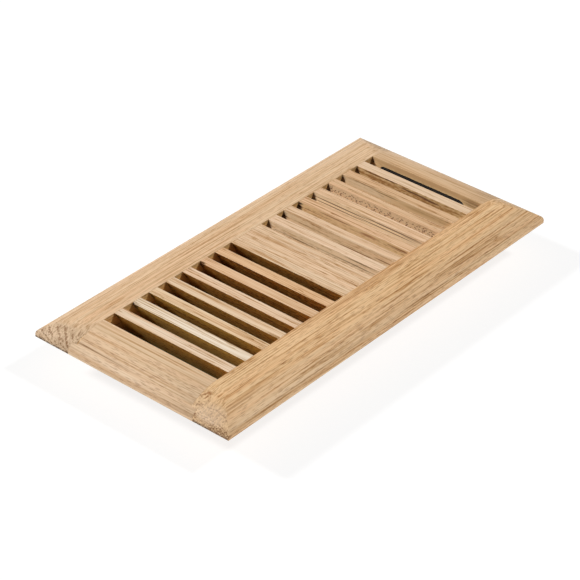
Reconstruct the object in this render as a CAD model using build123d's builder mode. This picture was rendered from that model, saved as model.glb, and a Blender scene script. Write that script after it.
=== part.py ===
from build123d import *

"""Drop-in floor register: an oak louvred frame with a moulded damper under it.

X runs along the register, Y across it and Z up. Z = 0 is the underside of the rim, where it sits on the
floor, and the lever end is at +X. All sizes are in millimetres and degrees.
"""

import os
from math import atan2, cos, radians, sin, tan

# Duct opening in the floor, and how the register covers it
duct_length = 254.0
duct_width = 101.6
rim_overhang = 22.225
plug_clearance = 1.6
plug_depth = 6.35

# Oak frame
face_top = 12.7
stile_width = 30.0
end_rail_width = 25.2
centre_rail_width = 28.0
crown_width = 24.5
crown_edge_height = 3.75
lip_round = 4.0

# Louvres, leaning with their lower edges towards the centre rail
louvres_per_bay = 7
louvre_thickness = 6.2
louvre_slant = 31.0
end_slot = 8.75

# Splinters torn from the upper edges of two louvres, beside the left stile
splintered_louvres = ("louvre_02", "louvre_06")
splinter_length = 3.2
splinter_width = 1.4
splinter_depth = 2.2

# Tongues of the rails and louvres, glued into pockets in the stiles
tongue_length = 4.0
tongue_top = 6.35
glue_gap = 0.05

# Damper tray, with an upstand that rises in a relief of the lever end rail
damper_wall = 2.0
damper_depth = 16.0
damper_overlap = 3.0
seat_gap = 0.05
upstand_setback = 1.3
upstand_length = 69.2
upstand_shift = 0.2
upstand_top = 9.35
upstand_right_corner = 8.0
upstand_left_corner = 2.5
relief_clearance = 0.35
ledge_thickness = 1.2
ledge_clearance = 0.5
lug_width = 9.4
lug_thickness = 1.6

# Damper blades, each with a round rib along its pivot line
blade_count = 5
blade_gap = 0.8
blade_thickness = 1.6
blade_rib_radius = 2.1
blade_axis_depth = 11.2
pivot_radius = 1.4
pivot_end_inset = 0.3
running_clearance = 0.05

# Link bar and the crank pins that it runs on
crank_radius = 5.0
crank_rest_angle = 50.0
crank_pin_radius = 1.2
crank_pin_overrun = 0.4
crank_ear_width = 4.2
crank_ear_thickness = 2.0
link_height = 4.2
link_thickness = 2.0
link_side_gap = 0.4

# Finger lever, on a square of the middle blade's pivot
lever_thickness = 2.0
lever_width = 6.0
lever_tip_drop = 0.7
lever_link_gap = 1.1
lever_wall_gap = 2.55
lever_square = 3.4
lever_square_overrun = 0.2

# Wood screws that hold the tray
screw_radius = 1.45
screw_grip = 4.4
screw_tip_gap = 0.3
screw_pilot_clearance = 0.02
screw_hole_clearance = 0.15
screw_head_radius = 2.7
screw_head_height = 1.8
screw_head_round = 0.8
screw_head_wall_gap = 0.6
screw_recess_length = 3.0
screw_recess_width = 0.7
screw_recess_depth = 1.0

# How far a cut runs past the face that it opens
cut_margin = 1.0

# Wood sizes that follow from these
face_length = duct_length + 2 * rim_overhang
face_width = duct_width + 2 * rim_overhang
plug_length = duct_length - 2 * plug_clearance
plug_width = duct_width - 2 * plug_clearance
opening_half_length = face_length / 2 - end_rail_width
opening_half_width = face_width / 2 - stile_width
tongue_end = opening_half_width + tongue_length
lean = tan(radians(louvre_slant))
louvre_top_width = louvre_thickness / cos(radians(louvre_slant))
louvre_pitch = (opening_half_length - centre_rail_width / 2 - end_slot) / louvres_per_bay
slot_width = louvre_pitch - louvre_top_width

# Damper sizes that follow from these
damper_top = -plug_depth - seat_gap
damper_bottom = damper_top - damper_depth
damper_half_length = opening_half_length - upstand_setback
damper_half_width = opening_half_width + damper_overlap
wall_inside_x = damper_half_length - damper_wall
wall_inside_y = damper_half_width - damper_wall
lever_inside_x = wall_inside_x - lever_wall_gap - lever_thickness
link_inside_x = lever_inside_x - lever_link_gap - link_thickness
blade_half_length = link_inside_x - link_side_gap
end_strip_x = blade_half_length + ledge_clearance
blade_pitch = 2 * wall_inside_y / blade_count
blade_width = blade_pitch - blade_gap
axis_z = damper_top - blade_axis_depth
axes_y = [(k - (blade_count - 1) / 2) * blade_pitch for k in range(blade_count)]
lever_axis_y = axes_y[blade_count // 2]
crank_y = crank_radius * cos(radians(crank_rest_angle))
crank_z = crank_radius * sin(radians(crank_rest_angle))
lever_arm = face_top - lever_tip_drop - axis_z - lever_width / 2
screw_x = wall_inside_x - screw_head_wall_gap - screw_head_radius
screw_y = wall_inside_y - lug_width / 2
lug_bottom = damper_top - lug_thickness

os.makedirs("parts", exist_ok=True)


def save(piece, name):
    """Labels a finished piece and writes it as its own STEP file."""
    piece.label = name
    export_step(piece, f"parts/{name}.step")


def crowned_outline(plane, span, plug_span):
    """Section of the whole register: the plug below, and the rim crowned down to a rounded lip."""
    half = span / 2
    plug_half = plug_span / 2
    crown_start = half - crown_width
    drop = face_top - crown_edge_height
    radius = (crown_width**2 + drop**2) / (2 * drop)
    half_turn = atan2(crown_width, radius - drop) / 2
    middle_x = crown_start + radius * sin(half_turn)
    middle_z = face_top - radius * (1 - cos(half_turn))
    with BuildSketch(plane) as outline:
        with BuildLine():
            Polyline(
                (-half, crown_edge_height),
                (-half, 0),
                (-plug_half, 0),
                (-plug_half, -plug_depth),
                (plug_half, -plug_depth),
                (plug_half, 0),
                (half, 0),
                (half, crown_edge_height),
            )
            ThreePointArc((half, crown_edge_height), (middle_x, middle_z), (crown_start, face_top))
            Line((crown_start, face_top), (-crown_start, face_top))
            ThreePointArc((-crown_start, face_top), (-middle_x, middle_z), (-half, crown_edge_height))
        make_face()
        ends = [outline.vertices().group_by(Axis.X)[side] for side in (0, -1)]
        fillet([end.sort_by(Axis.Y)[-1] for end in ends], lip_round)
    return outline.sketch


# Outer form of the glued-up wood, which every wooden piece is trimmed to
length_outline = crowned_outline(Plane.XZ, face_length, plug_length)
width_outline = crowned_outline(Plane.YZ, face_width, plug_width)
with BuildPart() as blank:
    extrude(width_outline, amount=face_length / 2, both=True)
    extrude(length_outline, amount=face_width / 2, both=True, mode=Mode.INTERSECT)

# Each piece between the stiles has two sides. A side is its X at the top face and its run in X per unit down
beyond_end = face_length / 2 + cut_margin
cross_pieces = {
    "plain_end_rail": ((-beyond_end, 0), (-opening_half_length, lean)),
    "centre_rail": ((-centre_rail_width / 2, lean), (centre_rail_width / 2, -lean)),
    "lever_end_rail": ((opening_half_length, -lean), (beyond_end, 0)),
}
for k in range(louvres_per_bay):
    inner = centre_rail_width / 2 + slot_width + k * louvre_pitch
    outer = inner + louvre_top_width
    cross_pieces[f"louvre_{louvres_per_bay - k:02d}"] = ((-outer, lean), (-inner, lean))
    cross_pieces[f"louvre_{louvres_per_bay + 1 + k:02d}"] = ((inner, -lean), (outer, -lean))


def draw_section(sides, low, high, grow=0.0):
    """Draws a cross piece's upright section between two heights, grown by a clearance on both sides."""
    (near_top, near_run), (far_top, far_run) = sides
    Polygon(
        (near_top + near_run * (face_top - low) - grow, low),
        (far_top + far_run * (face_top - low) + grow, low),
        (far_top + far_run * (face_top - high) + grow, high),
        (near_top + near_run * (face_top - high) - grow, high),
        align=None,
    )


def draw_splinter(edge_x):
    """Draws a torn-out splinter in plan: a triangle on a louvre's upper edge, run past the faces it opens."""
    past_side = splinter_length * cut_margin / splinter_width
    past_end = splinter_width * cut_margin / splinter_length
    Polygon(
        (edge_x - cut_margin, opening_half_width - splinter_length - past_side),
        (edge_x + splinter_width + past_end, opening_half_width + cut_margin),
        (edge_x - cut_margin, opening_half_width + cut_margin),
        align=None,
    )


def draw_upstand(grow=0.0):
    """Draws the damper's upstand as a tab with two round upper corners, grown by a clearance."""
    foot = damper_top - cut_margin
    with Locations((upstand_shift, foot)):
        Rectangle(upstand_length + 2 * grow, upstand_top + grow - foot, align=(Align.CENTER, Align.MIN))
    fillet(vertices().group_by(Axis.Y)[-1].sort_by(Axis.X)[0], upstand_right_corner + grow)
    fillet(vertices().group_by(Axis.Y)[-1].sort_by(Axis.X)[-1], upstand_left_corner + grow)


# Stiles
with BuildPart() as left_stile:
    add(blank.part)
    split(bisect_by=Plane.XZ.offset(-opening_half_width), keep=Keep.BOTTOM)
    with BuildSketch(Plane.XZ.offset(-tongue_end - glue_gap)):
        for sides in cross_pieces.values():
            draw_section(sides, -plug_depth - cut_margin, tongue_top + glue_gap, glue_gap)
    extrude(amount=tongue_length + glue_gap + cut_margin, mode=Mode.SUBTRACT)
save(left_stile.part, "left_stile")

with BuildPart() as right_stile:
    mirror(left_stile.part, about=Plane.XZ)
save(right_stile.part, "right_stile")

# Rails and louvres
for name, sides in cross_pieces.items():
    with BuildPart() as cross_piece:
        with BuildSketch(Plane.XZ):
            draw_section(sides, -plug_depth, face_top)
        extrude(amount=opening_half_width - glue_gap, both=True)
        with BuildSketch(Plane.XZ):
            draw_section(sides, -plug_depth, tongue_top)
        extrude(amount=tongue_end, both=True)
        add(blank.part, mode=Mode.INTERSECT)
        if name in splintered_louvres:
            with BuildSketch(Plane.XY.offset(face_top)):
                draw_splinter(sides[0][0])
            extrude(amount=-splinter_depth, mode=Mode.SUBTRACT)
        if name == "lever_end_rail":
            with BuildSketch(Plane.YZ.offset(damper_half_length + relief_clearance)):
                draw_upstand(relief_clearance)
            extrude(amount=-opening_half_length, mode=Mode.SUBTRACT)
        if name.endswith("end_rail"):
            with BuildSketch(Plane.XY.offset(-plug_depth)):
                with GridLocations(2 * screw_x, 2 * screw_y, 2, 2):
                    Circle(screw_radius + screw_pilot_clearance)
            extrude(amount=screw_grip + screw_tip_gap, mode=Mode.SUBTRACT)
    save(cross_piece.part, name)

# Damper tray
with BuildPart() as damper_frame:
    with BuildSketch(Plane.XY.offset(damper_bottom)):
        Rectangle(2 * damper_half_length, 2 * damper_half_width)
        Rectangle(2 * wall_inside_x, 2 * wall_inside_y, mode=Mode.SUBTRACT)
    extrude(amount=damper_depth)
    with BuildSketch(Plane.XY.offset(damper_bottom)):
        Rectangle(2 * damper_half_length, 2 * damper_half_width)
        Rectangle(2 * end_strip_x, 2 * damper_half_width, mode=Mode.SUBTRACT)
    extrude(amount=ledge_thickness)
    with BuildSketch(Plane.XY.offset(lug_bottom)):
        Rectangle(2 * damper_half_length, 2 * damper_half_width)
        Rectangle(2 * end_strip_x, 2 * damper_half_width, mode=Mode.SUBTRACT)
        Rectangle(2 * damper_half_length, 2 * (wall_inside_y - lug_width), mode=Mode.SUBTRACT)
        with GridLocations(2 * screw_x, 2 * screw_y, 2, 2):
            Circle(screw_radius + screw_hole_clearance, mode=Mode.SUBTRACT)
    extrude(amount=lug_thickness)
    with BuildSketch(Plane.YZ.offset(wall_inside_x)):
        draw_upstand()
    extrude(amount=damper_wall)
    with BuildSketch(Plane.YZ):
        with Locations(*[(y, axis_z) for y in axes_y]):
            Circle(pivot_radius + running_clearance)
    extrude(amount=damper_half_length, both=True, mode=Mode.SUBTRACT)
save(damper_frame.part, "damper_frame")

# Damper blades
for number, axis_y in enumerate(axes_y, start=1):
    with BuildPart() as blade:
        with Locations((0, axis_y, axis_z)):
            Box(2 * blade_half_length, blade_width, blade_thickness)
            Cylinder(blade_rib_radius, 2 * blade_half_length, rotation=(0, 90, 0))
            Cylinder(pivot_radius, 2 * (damper_half_length - pivot_end_inset), rotation=(0, 90, 0))
        with BuildSketch(Plane.YZ.offset(blade_half_length - crank_ear_thickness)):
            with Locations((axis_y + crank_y / 2, axis_z + crank_z / 2)):
                SlotCenterToCenter(crank_radius, crank_ear_width, rotation=crank_rest_angle)
        extrude(amount=crank_ear_thickness)
        with BuildSketch(Plane.YZ.offset(blade_half_length)):
            with Locations((axis_y + crank_y, axis_z + crank_z)):
                Circle(crank_pin_radius)
        extrude(amount=link_side_gap + link_thickness + crank_pin_overrun)
        if axis_y == lever_axis_y:
            with BuildSketch(Plane.YZ.offset(lever_inside_x - lever_square_overrun)):
                with Locations((axis_y, axis_z)):
                    Rectangle(lever_square, lever_square, rotation=crank_rest_angle)
            extrude(amount=lever_thickness + 2 * lever_square_overrun)
    save(blade.part, f"damper_blade_{number}")

# Link bar
with BuildPart() as damper_link:
    with BuildSketch(Plane.YZ.offset(link_inside_x)):
        with Locations((crank_y, axis_z + crank_z)):
            SlotCenterToCenter((blade_count - 1) * blade_pitch, link_height)
        with Locations(*[(y + crank_y, axis_z + crank_z) for y in axes_y]):
            Circle(crank_pin_radius + running_clearance, mode=Mode.SUBTRACT)
    extrude(amount=link_thickness)
save(damper_link.part, "damper_link")

# Finger lever
with BuildPart() as damper_lever:
    arm_y = lever_axis_y + lever_arm / 2 * cos(radians(crank_rest_angle))
    arm_z = axis_z + lever_arm / 2 * sin(radians(crank_rest_angle))
    square_hole = lever_square + 2 * running_clearance
    with BuildSketch(Plane.YZ.offset(lever_inside_x)):
        with Locations((arm_y, arm_z)):
            SlotCenterToCenter(lever_arm, lever_width, rotation=crank_rest_angle)
        with Locations((lever_axis_y, axis_z)):
            Rectangle(square_hole, square_hole, rotation=crank_rest_angle, mode=Mode.SUBTRACT)
    extrude(amount=lever_thickness)
save(damper_lever.part, "damper_lever")

# Four pan-head wood screws
with BuildPart() as damper_screws:
    head_seat = lug_bottom - seat_gap
    with BuildSketch(Plane.XY.offset(head_seat - screw_head_height)):
        with GridLocations(2 * screw_x, 2 * screw_y, 2, 2):
            Circle(screw_head_radius)
    extrude(amount=screw_head_height)
    fillet(damper_screws.edges().group_by(Axis.Z)[0], screw_head_round)
    with BuildSketch(Plane.XY.offset(head_seat)):
        with GridLocations(2 * screw_x, 2 * screw_y, 2, 2):
            Circle(screw_radius)
    extrude(amount=screw_grip - plug_depth - head_seat)
    with BuildSketch(Plane.XY.offset(head_seat - screw_head_height)):
        with GridLocations(2 * screw_x, 2 * screw_y, 2, 2):
            Rectangle(screw_recess_length, screw_recess_width)
            Rectangle(screw_recess_width, screw_recess_length)
    extrude(amount=screw_recess_depth, mode=Mode.SUBTRACT)
save(damper_screws.part, "damper_screws")
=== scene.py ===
from math import cos, radians, sin

import bpy
from mathutils import Matrix, Vector


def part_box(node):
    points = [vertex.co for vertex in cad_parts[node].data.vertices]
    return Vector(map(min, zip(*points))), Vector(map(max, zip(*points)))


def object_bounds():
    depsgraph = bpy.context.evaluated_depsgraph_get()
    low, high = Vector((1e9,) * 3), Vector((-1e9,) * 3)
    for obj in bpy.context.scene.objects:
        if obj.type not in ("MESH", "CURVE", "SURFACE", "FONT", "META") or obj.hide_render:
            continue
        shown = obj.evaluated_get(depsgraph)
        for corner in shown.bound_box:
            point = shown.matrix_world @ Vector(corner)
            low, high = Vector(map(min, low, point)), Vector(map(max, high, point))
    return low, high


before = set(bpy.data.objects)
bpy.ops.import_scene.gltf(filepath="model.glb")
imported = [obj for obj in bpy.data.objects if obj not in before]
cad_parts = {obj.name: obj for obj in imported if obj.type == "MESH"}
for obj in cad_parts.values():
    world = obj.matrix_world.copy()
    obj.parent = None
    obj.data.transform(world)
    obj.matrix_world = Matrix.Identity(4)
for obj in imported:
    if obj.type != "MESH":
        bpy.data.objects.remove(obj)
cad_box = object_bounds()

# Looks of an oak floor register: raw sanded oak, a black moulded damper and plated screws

MM = 0.001
WHITE = "#ffffff"

# The photograph's camera, in millimetres and degrees: it looks along heading and down at pitch
CAMERA_TARGET = (-14.71, -4.24, 0.0)
CAMERA_DISTANCE = 1365.8
CAMERA_HEADING = 38.64
CAMERA_PITCH = 33.81
CAMERA_ROLL = -2.04
CAMERA_LENS = 143.36
CAMERA_SENSOR = 36.0


def linear(hex_colour):
    """An sRGB hex colour as linear RGBA.

    A channel c becomes c / 12.92 near black, and else ((c + 0.055) / 1.055) to the power 2.4.
    """
    shares = [int(hex_colour[i:i + 2], 16) / 255 for i in (1, 3, 5)]
    return [c / 12.92 if c <= 0.04045 else ((c + 0.055) / 1.055) ** 2.4 for c in shares] + [1.0]


def node(tree, kind, *values, out=0, sockets=None, stops=(), **settings):
    """Adds a node with its settings and gives back one of its outputs.

    Values go to the inputs in order and sockets by name: an output is linked, and anything else is set.
    Stops are a colour ramp's places from 0 to 1, each with a linear colour or a grey.
    """
    made = tree.nodes.new("ShaderNode" + kind)
    for name, value in settings.items():
        setattr(made, name, value)
    for name, value in {**dict(enumerate(values)), **(sockets or {})}.items():
        if isinstance(value, bpy.types.NodeSocket):
            tree.links.new(value, made.inputs[name])
        else:
            made.inputs[name].default_value = value
    for k, (place, value) in enumerate(stops):
        elements = made.color_ramp.elements
        element = elements[k] if k < 2 else elements.new(place)
        element.position = place
        element.color = value if isinstance(value, list) else (value, value, value, 1.0)
    return made.outputs[out] if made.outputs else None


def new_material(name):
    """An empty node material and its tree."""
    material = bpy.data.materials.new(name)
    material.use_nodes = True
    material.node_tree.nodes.clear()
    return material, material.node_tree


# Oak, sawn and sanded with no finish: pale, dry and matt, with open grain. Growth rings are cylinders round
# a pith line along the grain, so one solid pattern gives lines and dashes on the faces, wavy figure where a
# face lies along the rings, and rows of specks on the ends. Its noise is drawn out along the grain: each
# layer has its size in millimetres along the grain, across it and up, and the range that it spans. Fibres
# and hairlines are too fine to show, so they are drawn coarser than real ones
GRAIN_LAYERS = {
    "sway": ((45.0, 14.0, 14.0), (0.0, 1.0)),
    "fade": ((30.0, 3.0, 3.0), (0.1, 1.0)),
    "streak": ((70.0, 1.7, 1.7), (-0.5, 0.5)),
    "fibre": ((50.0, 0.85, 0.85), (-0.5, 0.5)),
    "hair": ((24.0, 1.2, 1.2), (-1.0, 1.0)),
    "blush": ((120.0, 3.6, 3.6), (0.0, 1.0)),
    "speck": ((30.0, 1.1, 0.7), (0.0, 1.0)),
    "fuzz": ((3.0, 0.8, 0.8), (-0.5, 0.5)),
}
# Most of a noise texture's values lie between these
NOISE_SPAN = (0.34, 0.66)
# A ring's dark early wood against its pale late wood, from its inner edge outwards, and the faintest ring
RING_PROFILE = [(0.0, 0.3), (0.05, 1.0), (0.16, 0.6), (0.36, 0.15), (0.7, 0.0), (0.97, 0.05), (1.0, 0.3)]
FAINTEST_RING = 0.2
# Shades, and the shares of a board's tone in red, green and blue that they stand for, from its palest fibre
# to its darkest line. Then the shade of plain wood, the shares in a blush, and half the width of a hairline
# in its noise
SHADES = [
    (0.0, (1.12, 1.17, 1.24)),
    (0.3, (1.0, 1.0, 1.0)),
    (0.66, (0.7, 0.58, 0.42)),
    (1.0, (0.42, 0.28, 0.14)),
]
PLAIN_SHADE = 0.21
BLUSH = (1.04, 0.94, 0.88)
HAIR_WIDTH = 0.28
# A vessel is about 0.3 mm wide and too fine to show, so it is drawn about twice as wide. Its wall lies
# between two distances from its middle, in widths. The row is how dark the early wood is where vessels begin
# to open and where all are open, and the fade is how softly a porous stretch ends, in millimetres
PORE_WIDTH = 0.7
PORE_WALL = (0.42, 0.2)
PORE_BROWN = "#7c4412"
PORE_ROW = (0.2, 0.7)
POROUS_FADE = 0.4
# A face inside the opening that wasn't sanded stays as sawn: fuzzy, darker and gold, which is partly painted
# warm shade, and fullest where it looks down, as painted shade. The reach is from the middle along X, Y and
# Z, in millimetres: just past the opening, and past the whole height. A lean is the upward part of a face's
# normal
SAWN_GOLD_AND_SHADE = "#f8e694"
SAWN_REACH = (124.6, 47.6, 100.0)
SAWN_LEAN = (0.68, 0.56)
SAWN_FUZZ = 0.9
# Faces that lean down past these get the full sawn gold, as painted shade
DOWNWARD_SHADE_LEAN = (-0.3, -0.1)
# Heartwood in a sawn face: the heights where it begins and is full, and how far they wave, in millimetres
HEART_HEIGHTS = (14.1, 13.3)
HEART_WAVE = 1.4
# The ends, which begin and are full at two cuts, a cut being the part of a face's normal along the grain.
# They have pale and grey patches, mixed by the streaks and fibres
END_CUT = (0.12, 0.36)
END_COVER = 0.92
END_PALE = (1.02, 1.05, 1.1)
END_GREY = (0.78, 0.77, 0.78)
PATCH_FIBRES = 0.9
PATCH_MIDDLE = 0.5
# Specks between those patches: the early wood that they keep to, how crowded they have to be to show, and
# how much they cover at two cuts
SPECK_BROWN = "#805428"
SPECK_ROW = (0.06, 0.4)
SPECK_CROWD = (0.66, 1.2)
SPECK_CUT = (0.2, 0.5)
SPECK_COVER = (0.3, 0.85)
# The lower edge of an end, darker in an uneven band. The heights are in millimetres
LOW_EDGE_BROWN = "#3a2410"
LOW_EDGE_HEIGHTS = (1.7, 0.7)
LOW_EDGE_CUT = (0.3, 0.7)
LOW_EDGE_COVER = 0.9
LOW_EDGE_SPECKS = (0.1, 0.6)
LOW_EDGE_LEAST = 0.35
# The share of its reach that a mark fills, and the speck noise that breaks it up into flecks
MARK_CORE = 0.5
FLECK_SPECKS = (0.3, 0.7)
# The surface: the fibres' depth beside that of the vessels, the relief in millimetres, and a matt sheen
FIBRE_DEPTH = 0.4
OAK_RELIEF = 0.12
OAK_BUMP = 0.4
OAK_ROUGHNESS = (0.5, 0.7)
OAK_IOR = 1.5
OAK_SPECULAR = 0.3


def share(tone, shares):
    """A hex tone in linear light, with each channel times its share."""
    return [min(1.0, c * s) for c, s in zip(linear(tone), shares)] + [1.0]


def grain_noise(tree, point):
    """The layers of noise at a point in millimetres, each stretched to its own size and span."""
    layers = {}
    for layer, (size, span) in GRAIN_LAYERS.items():
        spread = node(tree, "VectorMath", point, size, operation="DIVIDE")
        noise = node(tree, "TexNoise", spread, sockets={"Scale": 1.0, "Detail": 1.0})
        layers[layer] = node(tree, "MapRange", noise, *NOISE_SPAN, *span, clamp=False)
    return layers


def growth_rings(tree, point, layers, pith, ring, wander):
    """The early wood, the strength of each ring, and its vigour, which fades in and out along the grain.

    Rings are counted by the distance from the pith, with its sway added, over the width of a ring.
    """
    from_pith = node(tree, "VectorMath", point, (0.0, *pith), operation="SUBTRACT")
    across = node(tree, "VectorMath", from_pith, (0.0, 1.0, 1.0), operation="MULTIPLY")
    radius = node(tree, "VectorMath", across, operation="LENGTH", out="Value")
    swayed = node(tree, "Math", layers["sway"], wander, radius, operation="MULTIPLY_ADD")
    count = node(tree, "Math", swayed, ring, operation="DIVIDE")
    early = node(tree, "ValToRGB", node(tree, "Math", count, operation="FRACT"), stops=RING_PROFILE)
    number = node(tree, "Math", count, operation="FLOOR")
    chance = node(tree, "TexWhiteNoise", sockets={"W": number}, noise_dimensions="1D")
    strength = node(tree, "Math", chance, FAINTEST_RING, operation="ADD")
    vigour = node(tree, "Math", strength, layers["fade"], operation="MULTIPLY")
    return early, strength, vigour


def unsanded_faces(tree, place, upward):
    """1 on faces that lean more than the crown does and lie inside the opening, and 0 on the others.

    The place over the reach, rounded down, is 0 on every axis inside it and at least 1 on some axis beyond.
    """
    leaning = node(tree, "MapRange", upward, *SAWN_LEAN)
    outwards = node(tree, "VectorMath", place, operation="ABSOLUTE")
    reaches = node(tree, "VectorMath", outwards, [r * MM for r in SAWN_REACH], operation="DIVIDE")
    whole = node(tree, "VectorMath", reaches, operation="FLOOR")
    beyond = node(tree, "VectorMath", whole, operation="LENGTH", out="Value")
    within = node(tree, "Math", 1.0, beyond, operation="SUBTRACT", use_clamp=True)
    return node(tree, "Math", leaning, within, operation="MULTIPLY")


def open_vessels(tree, point, height, early, vigour, pores, pore_length, porous):
    """Dashes along the grain, in rows along the early wood and all over a porous stretch."""
    row = node(tree, "MapRange", early, *PORE_ROW)
    opened = node(tree, "Math", row, vigour, operation="MULTIPLY")
    if porous:
        bottom, top = porous
        above = node(tree, "MapRange", height, bottom - POROUS_FADE, bottom + POROUS_FADE)
        below = node(tree, "MapRange", height, top + POROUS_FADE, top - POROUS_FADE)
        opened = node(tree, "Math", above, below, opened, operation="MULTIPLY_ADD")
    cells = node(tree, "VectorMath", point, (pore_length, PORE_WIDTH, PORE_WIDTH), operation="DIVIDE")
    distance = node(tree, "TexVoronoi", cells, sockets={"Scale": 1.0})
    bore = node(tree, "MapRange", distance, *PORE_WALL, 0.0, pores)
    return node(tree, "Math", bore, opened, operation="MULTIPLY")


def end_grain(tree, tone, layers, early, strength, cut, end_rows):
    """Specks crowded along the rings, between pale and grey patches."""
    mottle = node(tree, "Math", layers["fibre"], PATCH_FIBRES, layers["streak"], operation="MULTIPLY_ADD")
    greyness = node(tree, "Math", mottle, PATCH_MIDDLE, operation="ADD")
    patches = node(tree, "MixRGB", greyness, share(tone, END_PALE), share(tone, END_GREY))
    row = node(tree, "MapRange", early, *SPECK_ROW)
    ringed = node(tree, "Math", row, strength, operation="MULTIPLY")
    crowded = node(tree, "Math", ringed, end_rows, layers["speck"], operation="MULTIPLY_ADD")
    cover = node(tree, "MapRange", cut, *SPECK_CUT, *SPECK_COVER)
    speck = node(tree, "MapRange", crowded, *SPECK_CROWD, 0.0, cover)
    return node(tree, "MixRGB", speck, patches, linear(SPECK_BROWN))


def darker_low_edge(tree, layers, height, cut):
    """How far the lower edge of an end is darkened."""
    low = node(tree, "MapRange", height, *LOW_EDGE_HEIGHTS)
    upright = node(tree, "MapRange", cut, *LOW_EDGE_CUT, 0.0, LOW_EDGE_COVER)
    uneven = node(tree, "MapRange", layers["speck"], *LOW_EDGE_SPECKS, LOW_EDGE_LEAST, 1.0)
    edge = node(tree, "Math", upright, uneven, operation="MULTIPLY")
    return node(tree, "Math", low, edge, operation="MULTIPLY")


def marked_wood(tree, place, layers, wood, marks):
    """The wood with its marks laid on, each the softer the nearer it comes to its reach."""
    for middle, reach, colour, strength, broken in marks:
        offset = node(tree, "VectorMath", place, [m * MM for m in middle], operation="SUBTRACT")
        scaled = node(tree, "VectorMath", offset, [r * MM for r in reach], operation="DIVIDE")
        distance = node(tree, "VectorMath", scaled, operation="LENGTH", out="Value")
        spot = node(tree, "MapRange", distance, 1.0, MARK_CORE, 0.0, strength)
        fleck = node(tree, "MapRange", layers["speck"], *FLECK_SPECKS, 1.0 - broken, 1.0)
        cover = node(tree, "Math", spot, fleck, operation="MULTIPLY", use_clamp=True)
        wood = node(tree, "MixRGB", cover, wood, linear(colour))
    return wood


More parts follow.
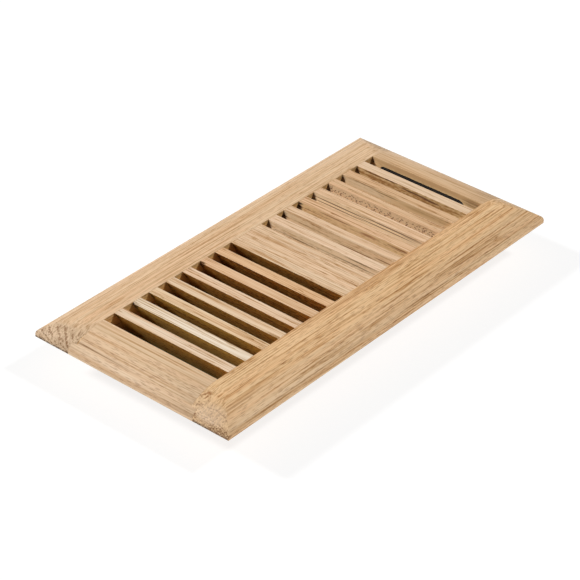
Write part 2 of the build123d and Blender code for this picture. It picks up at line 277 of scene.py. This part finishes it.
def oak(name, tone, pith, along="Y", shift=0.0, ring=2.0, run_out=0.0, wander=0.5, lines=0.4, streaks=0.25,
        hairs=0.5, fibres=0.45, blush=0.6, pores=0.6, pore_length=9.0, porous=None, heart=0.0, sawn=0.3,
        end_rows=0.8, marks=()):
    """Raw oak with its grain along X or Y, slid along by the shift. Lengths are in millimetres.

    Pith is the rings' centre across and up, ring the width of one, run_out the grain's slope in degrees and
    wander how far the rings sway. Lines, streaks, hairs, fibres and blush are the strengths of what shows on
    the faces, and pores that of the vessels, which also lie all over between the two heights of porous.
    Heart turns the sawn faces to darker heartwood, or to paler sapwood if it is negative. Sawn is how gold
    and fuzzy those are that don't look down, the gold being partly painted warm shade; those that look down
    get it in full, as painted shade. End_rows is how far the specks on the ends keep to the rings.
    Marks are as in MARKS.
    """
    material, tree = new_material(name)
    place = node(tree, "TexCoord", out="Object")
    normal = node(tree, "TexCoord", out="Normal")
    point = node(tree, "Mapping", place, sockets={
        "Location": (shift, 0.0, 0.0),
        "Rotation": (0.0, radians(run_out), 0.0 if along == "X" else radians(-90)),
        "Scale": (1 / MM,) * 3,
    })
    height = node(tree, "SeparateXYZ", point, out="Z")
    upward = node(tree, "SeparateXYZ", normal, out="Z")
    cut = node(tree, "Math", node(tree, "SeparateXYZ", normal, out=along), operation="ABSOLUTE")
    layers = grain_noise(tree, point)
    early, strength, vigour = growth_rings(tree, point, layers, pith, ring, wander)
    unsanded = unsanded_faces(tree, place, upward)
    # Painted warm shade on sawn faces: full where they look down, the sawn share on the others
    downward_shade = node(tree, "MapRange", upward, *DOWNWARD_SHADE_LEAN, 1.0, sawn)
    gold_and_shade = node(tree, "Math", unsanded, downward_shade, operation="MULTIPLY")

    # Shade of the faces, darker along lines and hairlines, and fuzzy where they are as sawn
    line = node(tree, "Math", early, vigour, operation="MULTIPLY")
    thin = node(tree, "MapRange", node(tree, "Math", layers["hair"], operation="ABSOLUTE"), HAIR_WIDTH, 0.0)
    hairline = node(tree, "Math", thin, layers["fade"], operation="MULTIPLY")
    fuzz = node(tree, "Math", layers["fuzz"], gold_and_shade, operation="MULTIPLY")
    shade = PLAIN_SHADE
    for part, amount in [(line, lines), (hairline, hairs), (layers["streak"], streaks),
                         (layers["fibre"], fibres), (fuzz, SAWN_FUZZ)]:
        shade = node(tree, "Math", part, amount, shade, operation="MULTIPLY_ADD")
    if heart:
        wavy = node(tree, "Math", layers["sway"], HEART_WAVE, height, operation="MULTIPLY_ADD")
        inside = node(tree, "MapRange", wavy, *HEART_HEIGHTS, 0.0, heart)
        shade = node(tree, "Math", inside, unsanded, shade, operation="MULTIPLY_ADD")

    # Colour of the faces, with a pinker blush in places, then the vessels and the sawn gold, which is partly
    # painted warm shade and fullest where a face looks down
    toned = node(tree, "ValToRGB", shade, stops=[(stop, share(tone, shares)) for stop, shares in SHADES])
    pinker = node(tree, "MixRGB", 1.0, toned, [*BLUSH, 1.0], blend_type="MULTIPLY")
    pinkness = node(tree, "Math", layers["blush"], blush, operation="MULTIPLY")
    faces = node(tree, "MixRGB", pinkness, toned, pinker)
    pore = open_vessels(tree, point, height, early, vigour, pores, pore_length, porous)
    faces = node(tree, "MixRGB", pore, faces, linear(PORE_BROWN))
    faces = node(tree, "MixRGB", gold_and_shade, faces, linear(SAWN_GOLD_AND_SHADE), blend_type="MULTIPLY")

    # Faces and ends together, with the darker low edge and the marks
    end = node(tree, "MapRange", cut, *END_CUT, 0.0, END_COVER)
    wood = node(tree, "MixRGB", end, faces, end_grain(tree, tone, layers, early, strength, cut, end_rows))
    wood = node(tree, "MixRGB", darker_low_edge(tree, layers, height, cut), wood, linear(LOW_EDGE_BROWN))
    wood = marked_wood(tree, place, layers, wood, marks)

    sunk = node(tree, "Math", layers["fibre"], FIBRE_DEPTH, pore, operation="MULTIPLY_ADD")
    relief = node(tree, "Math", 0.0, sunk, operation="SUBTRACT")
    bump = node(tree, "Bump", sockets={"Height": relief, "Strength": OAK_BUMP, "Distance": OAK_RELIEF * MM})
    rough = node(tree, "MapRange", shade, 0.0, 1.0, *OAK_ROUGHNESS)
    surface = node(tree, "BsdfPrincipled", wood, sockets={
        "Roughness": rough, "IOR": OAK_IOR, "Normal": bump, "Specular IOR Level": OAK_SPECULAR,
    })
    node(tree, "OutputMaterial", surface)
    return material


# Most of the values of a noise that clouds plastic or steel lie between these
CLOUD_SPAN = (0.3, 0.7)
# Black polypropylene, moulded against a spark-eroded tool, which leaves a fine matt grain. The grain, the
# faint clouds in its black and the relief are in millimetres. A real grain is finer and too fine to show,
# so it is drawn coarser
PLASTIC_GRAIN = 0.4
PLASTIC_CLOUD = 18.0
PLASTIC_BLACKS = ("#0d0d0e", "#161617")
PLASTIC_ROUGHNESS = (0.42, 0.6)
PLASTIC_RELIEF = 0.05
PLASTIC_BUMP = 0.25
PLASTIC_IOR = 1.49
# Zinc-plated steel, cold headed: bright, with a slightly yellow passivation. Its clouds are in millimetres
STEEL_CLOUD = 1.5
STEEL_TINTS = ("#b9b3a0", "#d3d2cc")
STEEL_ROUGHNESS = (0.25, 0.42)


def moulded_plastic():
    """Black polypropylene with a fine matt grain."""
    material, tree = new_material("moulded_black_polypropylene")
    place = node(tree, "TexCoord", out="Object")
    grain = node(tree, "TexNoise", place, sockets={"Scale": 1 / (PLASTIC_GRAIN * MM), "Detail": 2.0})
    cloud = node(tree, "TexNoise", place, sockets={"Scale": 1 / (PLASTIC_CLOUD * MM), "Detail": 2.0})
    tone = node(tree, "ValToRGB", cloud, stops=zip(CLOUD_SPAN, map(linear, PLASTIC_BLACKS)))
    rough = node(tree, "MapRange", grain, *CLOUD_SPAN, *PLASTIC_ROUGHNESS)
    bump = node(tree, "Bump", sockets={
        "Height": grain, "Strength": PLASTIC_BUMP, "Distance": PLASTIC_RELIEF * MM,
    })
    surface = node(tree, "BsdfPrincipled", tone, sockets={
        "Roughness": rough, "IOR": PLASTIC_IOR, "Normal": bump,
    })
    node(tree, "OutputMaterial", surface)
    return material


def plated_steel():
    """Zinc-plated steel with a cloudy passivation."""
    material, tree = new_material("zinc_plated_steel")
    place = node(tree, "TexCoord", out="Object")
    cloud = node(tree, "TexNoise", place, sockets={"Scale": 1 / (STEEL_CLOUD * MM), "Detail": 3.0})
    tone = node(tree, "ValToRGB", cloud, stops=zip(CLOUD_SPAN, map(linear, STEEL_TINTS)))
    rough = node(tree, "MapRange", cloud, *CLOUD_SPAN, *STEEL_ROUGHNESS)
    surface = node(tree, "BsdfPrincipled", tone, sockets={"Roughness": rough, "Metallic": 1.0})
    node(tree, "OutputMaterial", surface)
    return material


def dress(name, material):
    """Gives a CAD node its material in every slot."""
    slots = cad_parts[name].data.materials
    slots.clear()
    slots.append(material)


# Sanding eases the wood's sharp edges. Lengths are in millimetres and the angle is in degrees
EASE_WIDTH = 0.2
EASE_SEGMENTS = 2
SHARP_ANGLE = 35.0
WELD_REACH = 0.002


def ease_edges(name):
    """Eases a node's sharp edges: its loose triangles are welded, and the corners between them cut."""
    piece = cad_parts[name]
    weld = piece.modifiers.new("weld", "WELD")
    weld.merge_threshold = WELD_REACH * MM
    bevel = piece.modifiers.new("eased_edges", "BEVEL")
    bevel.width = EASE_WIDTH * MM
    bevel.segments = EASE_SEGMENTS
    bevel.limit_method = "ANGLE"
    bevel.angle_limit = radians(SHARP_ANGLE)


# Each board's own wood. Across is Y on a stile and -X on a rail or a louvre
BOARDS = {
    "left_stile": dict(
        tone="#ddbc96", along="X", shift=40.0, pith=(86.0, -52.0), ring=2.7, lines=0.2, hairs=0.34,
        pores=0.24, pore_length=6.5, porous=(0.0, 14.0), sawn=0.5,
    ),
    "right_stile": dict(
        tone="#deb88a", along="X", pith=(-52.0, -148.05), ring=0.8, run_out=-0.08, wander=1.0, lines=0.3,
        streaks=0.12, hairs=0.42, fibres=0.7, pores=0.36, pore_length=7.0, porous=(0.0, 14.0), sawn=0.5,
        end_rows=0.45,
    ),
    "plain_end_rail": dict(
        tone="#d7b792", pith=(60.0, -50.0), ring=1.5, wander=0.4, lines=0.14, streaks=0.15, hairs=0.22,
        fibres=0.38, pores=0.42, pore_length=6.5, porous=(1.0, 11.8),
    ),
    "centre_rail": dict(
        tone="#debf9c", pith=(90.0, -50.0), ring=1.5, wander=0.4, lines=0.42, hairs=0.7, fibres=0.5,
        pores=0.22, porous=(0.0, 14.0),
    ),
    "lever_end_rail": dict(
        tone="#d3b18a", pith=(-60.0, -40.0), lines=0.25, hairs=0.3, fibres=0.25, heart=-0.15, sawn=0.45,
    ),
}
# Each louvre's tone from the plain end, with what sets its wood apart
LOUVRES = [
    dict(tone="#e2c8ab", heart=-0.2),
    dict(tone="#e8d4ba", blush=0.2, heart=-0.2),
    dict(tone="#dec19c", hairs=0.8, streaks=0.4, heart=-0.12),
    dict(tone="#dfc19f"),
    dict(tone="#e0c0a0", hairs=0.8, streaks=0.4),
    dict(tone="#dcb791", heart=0.05),
    dict(tone="#dbb58c", hairs=0.6, streaks=0.4, heart=0.3),
    dict(tone="#e4c6a6", pores=0.4, pore_length=4.0, porous=(8.2, 10.9), heart=-0.16, sawn=0.29),
    dict(tone="#dcbb98", hairs=0.6, fibres=0.65, heart=-0.32),
    dict(tone="#dbb690", streaks=0.4, fibres=0.6, heart=-0.22, sawn=0.5),
    dict(tone="#e0c09d", hairs=0.55, streaks=0.35, fibres=0.75, heart=-0.46, sawn=0.26),
    dict(tone="#d7b28b", pores=1.5, pore_length=1.8, porous=(8.4, 11.6), heart=-0.42, sawn=0.25),
    dict(tone="#d3ae86", hairs=0.7, streaks=0.3, heart=-0.35, sawn=0.36),
    dict(tone="#dfc1a0", heart=0.2, sawn=0.58),
]
# A louvre's pith, from its own middle, and how far the grain is slid from one louvre to the next
LOUVRE_PITH = (25.0, -35.0)
LOUVRE_SHIFT = 37.0
# Marks that the boards carry: torn corners, some darkened with painted shade, lines and streaks of dark
# grain, flecks, paler patches, painted shadows at the left roots, and painted light on the left stile's
# inner wall. Each is its middle and its reach along X, Y and Z in millimetres, its colour, its strength and
# how far it breaks up into flecks
MARKS = {
    # Painted light: a paler band along the inner wall, where the right lamp lights the left end of each slot
    "left_stile": [((0.0, 43.0, 7.4), (180.0, 1.5, 5.3), "#fdca82", 0.9, 0.0)],
    "right_stile": [
        ((0.0, -45.0, 12.7), (90.0, 5.0, 3.0), "#b07c4c", 0.45, 1.0),
        ((-146.0, -57.0, 7.0), (10.0, 12.0, 5.5), "#cdb299", 0.4, 0.5),
        ((-136.4, -46.5, 10.8), (3.5, 4.0, 3.0), "#94602f", 0.8, 1.0),
        ((-148.0, -46.5, 4.0), (3.5, 3.5, 6.0), "#8a5c30", 0.7, 1.0),
        ((-149.0, -66.0, 1.5), (4.0, 12.0, 4.0), "#7a4f27", 0.8, 1.0),
    ],
    # Torn corners, darkened partly as torn fibres and partly as painted shade of a deeper tear-out
    "louvre_02": [((-100.6, 41.0, 11.6), (2.0, 3.6, 3.0), "#54361a", 1.3, 0.8)],
    "louvre_06": [((-42.7, 41.0, 11.6), (2.0, 3.6, 3.0), "#54361a", 1.3, 0.8)],
    # Painted shadow of the left stile at the rail's left root
    "centre_rail": [((-12.0, 43.2, 9.6), (6.0, 4.5, 3.1), "#2e1a08", 0.7, 0.0)],
    "louvre_08": [
        ((19.7, -14.0, 10.1), (30.0, 34.0, 0.36), "#805a2c", 1.0, 0.4),
        ((20.9, -28.0, 12.1), (30.0, 14.0, 0.34), "#805a2c", 0.9, 0.4),
        ((20.0, 8.0, 10.7), (30.0, 30.0, 1.2), "#efcd9f", 0.5, 0.3),
        ((19.3, 22.0, 9.3), (30.0, 20.0, 0.5), "#8a6434", 0.8, 0.5),
    ],
    "louvre_09": [
        ((34.5, 42.4, 10.3), (3.4, 4.2, 3.4), "#3f260e", 1.3, 1.0),
        ((33.4, -16.0, 9.0), (30.0, 20.0, 0.3), "#8a551c", 1.0, 0.3),
        ((34.0, -36.0, 10.2), (30.0, 9.0, 0.35), "#8a551c", 1.0, 0.3),
    ],
    "louvre_10": [
        ((49.0, 42.4, 10.3), (3.4, 4.2, 3.4), "#3f260e", 1.3, 1.0),
        ((49.0, 2.0, 10.6), (30.0, 40.0, 2.2), "#ecc292", 0.4, 0.4),
        ((49.9, 14.0, 12.0), (30.0, 16.0, 0.42), "#8c4c14", 1.0, 0.3),
        ((49.3, -13.0, 11.2), (30.0, 9.0, 0.75), "#985420", 0.95, 0.4),
        ((49.3, -35.0, 11.3), (30.0, 10.0, 0.9), "#8a4a14", 0.95, 0.6),
    ],
    "louvre_11": [
        ((63.0, 10.0, 10.1), (30.0, 60.0, 2.7), "#ffdaa8", 0.85, 0.2),
        ((63.7, 22.0, 11.0), (30.0, 28.0, 0.28), "#6e3000", 1.4, 0.2),
        ((64.0, -18.0, 11.6), (30.0, 30.0, 0.28), "#6e3000", 1.4, 0.2),
        ((63.0, 22.0, 9.5), (30.0, 28.0, 0.25), "#7a3c02", 1.3, 0.2),
        ((63.3, -14.0, 10.1), (30.0, 28.0, 0.25), "#7a3c02", 1.3, 0.2),
        ((63.9, -35.0, 11.2), (30.0, 10.0, 0.6), "#96602a", 0.7, 0.5),
    ],
    "louvre_13": [
        ((92.5, 26.0, 10.1), (30.0, 26.0, 2.7), "#f2d4ac", 0.5, 0.3),
        ((93.3, 26.0, 12.3), (30.0, 14.0, 0.25), "#8d6430", 1.0, 0.2),
        ((93.0, 8.0, 11.7), (30.0, 12.0, 0.3), "#8d6430", 1.0, 0.2),
        ((92.8, -25.0, 11.0), (30.0, 24.0, 1.5), "#a87f44", 0.6, 0.5),
    ],
    "louvre_14": [
        ((106.8, 0.0, 10.5), (30.0, 70.0, 2.1), "#a8743a", 0.4, 0.3),
        ((107.5, 30.0, 11.9), (30.0, 9.0, 0.5), "#7a4814", 0.9, 0.4),
        ((107.8, 17.0, 12.2), (30.0, 7.0, 0.4), "#5e340a", 1.0, 0.2),
        ((107.2, -3.0, 11.3), (30.0, 16.0, 0.45), "#5e340a", 1.0, 0.3),
        ((106.9, -16.0, 10.8), (30.0, 9.0, 0.5), "#683a0e", 1.0, 0.3),
        ((107.2, -33.0, 11.4), (30.0, 12.0, 0.7), "#8a521c", 0.1, 0.6),
    ],
    "lever_end_rail": [
        ((121.6, 0.0, 11.8), (3.0, 70.0, 1.9), "#cb9c67", 2.0, 0.3),
        ((122.5, -38.0, 10.4), (30.0, 13.0, 2.2), "#7a5220", 0.65, 1.0),
        # Painted shadow of the left stile at the rail's left root
        ((122.5, 43.2, 9.6), (5.0, 4.0, 3.0), "#2e1a08", 0.7, 0.0),
    ],
}
# Painted shadow at each louvre's left root, where the left stile shades the slot: the root's Y and Z in
# millimetres, and the rest of its mark
ROOT_SHADOW_PLACE = (43.2, 9.6)
ROOT_SHADOW_MARK = ((30.0, 4.5, 3.1), "#2e1a08", 0.7, 0.0)

for k, look in enumerate(LOUVRES):
    name = f"louvre_{k + 1:02d}"
    low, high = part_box(name)
    middle = (low[0] + high[0]) / 2 / MM
    across, up = LOUVRE_PITH
    BOARDS[name] = dict(pith=(across - middle, up), shift=LOUVRE_SHIFT * k, **look)
    MARKS.setdefault(name, []).append(((middle, *ROOT_SHADOW_PLACE), *ROOT_SHADOW_MARK))
for name, look in BOARDS.items():
    dress(name, oak("sanded_oak_" + name, marks=MARKS.get(name, ()), **look))
    ease_edges(name)

plastic = moulded_plastic()
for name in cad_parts:
    if name.startswith("damper_") and name != "damper_screws":
        dress(name, plastic)
dress("damper_screws", plated_steel())

# A pale matt floor, in metres, lit a little from within so that its shadows stay faint
FLOOR_HALF = 3.0
FLOOR_GREY = "#808080"
FLOOR_ROUGHNESS = 0.9
FLOOR_GLOW = 0.82
# Each lamp: the direction towards it, its strength and its breadth in degrees
LAMPS = {
    "left_lamp": ((-0.431, 0.677, 0.599), 2.6, 8.0),
    "right_lamp": ((0.428, -0.46, 0.778), 1.8, 8.0),
}
DOME_STRENGTH = 0.06


def pale_floor():
    """A square floor under the damper tray."""
    material, tree = new_material("pale_matt_floor")
    surface = node(tree, "BsdfPrincipled", linear(FLOOR_GREY), sockets={
        "Roughness": FLOOR_ROUGHNESS, "Emission Color": linear(WHITE), "Emission Strength": FLOOR_GLOW,
    })
    node(tree, "OutputMaterial", surface)
    level = cad_box[0].z
    corners = [(x * FLOOR_HALF, y * FLOOR_HALF, level) for x, y in ((-1, -1), (1, -1), (1, 1), (-1, 1))]
    mesh = bpy.data.meshes.new("floor")
    mesh.from_pydata(corners, [], [(0, 1, 2, 3)])
    mesh.materials.append(material)
    floor = bpy.data.objects.new("floor", mesh)
    bpy.context.scene.collection.objects.link(floor)


def studio_light():
    """Two broad lamps, left and right of the camera, and a faint white dome."""
    world = bpy.data.worlds.new("studio")
    bpy.context.scene.world = world
    world.use_nodes = True
    world.node_tree.nodes.clear()
    dome = node(world.node_tree, "Background", linear(WHITE), DOME_STRENGTH)
    node(world.node_tree, "OutputWorld", dome)
    for name, (towards, strength, breadth) in LAMPS.items():
        lamp = bpy.data.lights.new(name, "SUN")
        lamp.energy = strength
        lamp.angle = radians(breadth)
        holder = bpy.data.objects.new(name, lamp)
        holder.rotation_mode = "QUATERNION"
        holder.rotation_quaternion = Vector(towards).to_track_quat("Z", "Y")
        bpy.context.scene.collection.objects.link(holder)


def photo_camera():
    """The photograph's viewpoint, worked out from the edges and slots that show in it."""
    heading, pitch, roll = (radians(a) for a in (CAMERA_HEADING, CAMERA_PITCH, CAMERA_ROLL))
    forward = Vector((cos(pitch) * cos(heading), cos(pitch) * sin(heading), -sin(pitch)))
    level = forward.cross(Vector((0, 0, 1))).normalized()
    down = forward.cross(level)
    right = cos(roll) * level + sin(roll) * down
    up = forward.cross(right) * -1
    eye = Vector(CAMERA_TARGET) * MM - forward * CAMERA_DISTANCE * MM
    lens = bpy.data.cameras.new("photo_camera")
    lens.lens = CAMERA_LENS
    lens.sensor_width = CAMERA_SENSOR
    camera = bpy.data.objects.new("photo_camera", lens)
    turn = Matrix((right, up, -forward)).transposed().to_4x4()
    camera.matrix_world = Matrix.Translation(eye) @ turn
    bpy.context.scene.collection.objects.link(camera)
    bpy.context.scene.camera = camera


pale_floor()
studio_light()
photo_camera()
bpy.context.scene.view_settings.view_transform = "Standard"
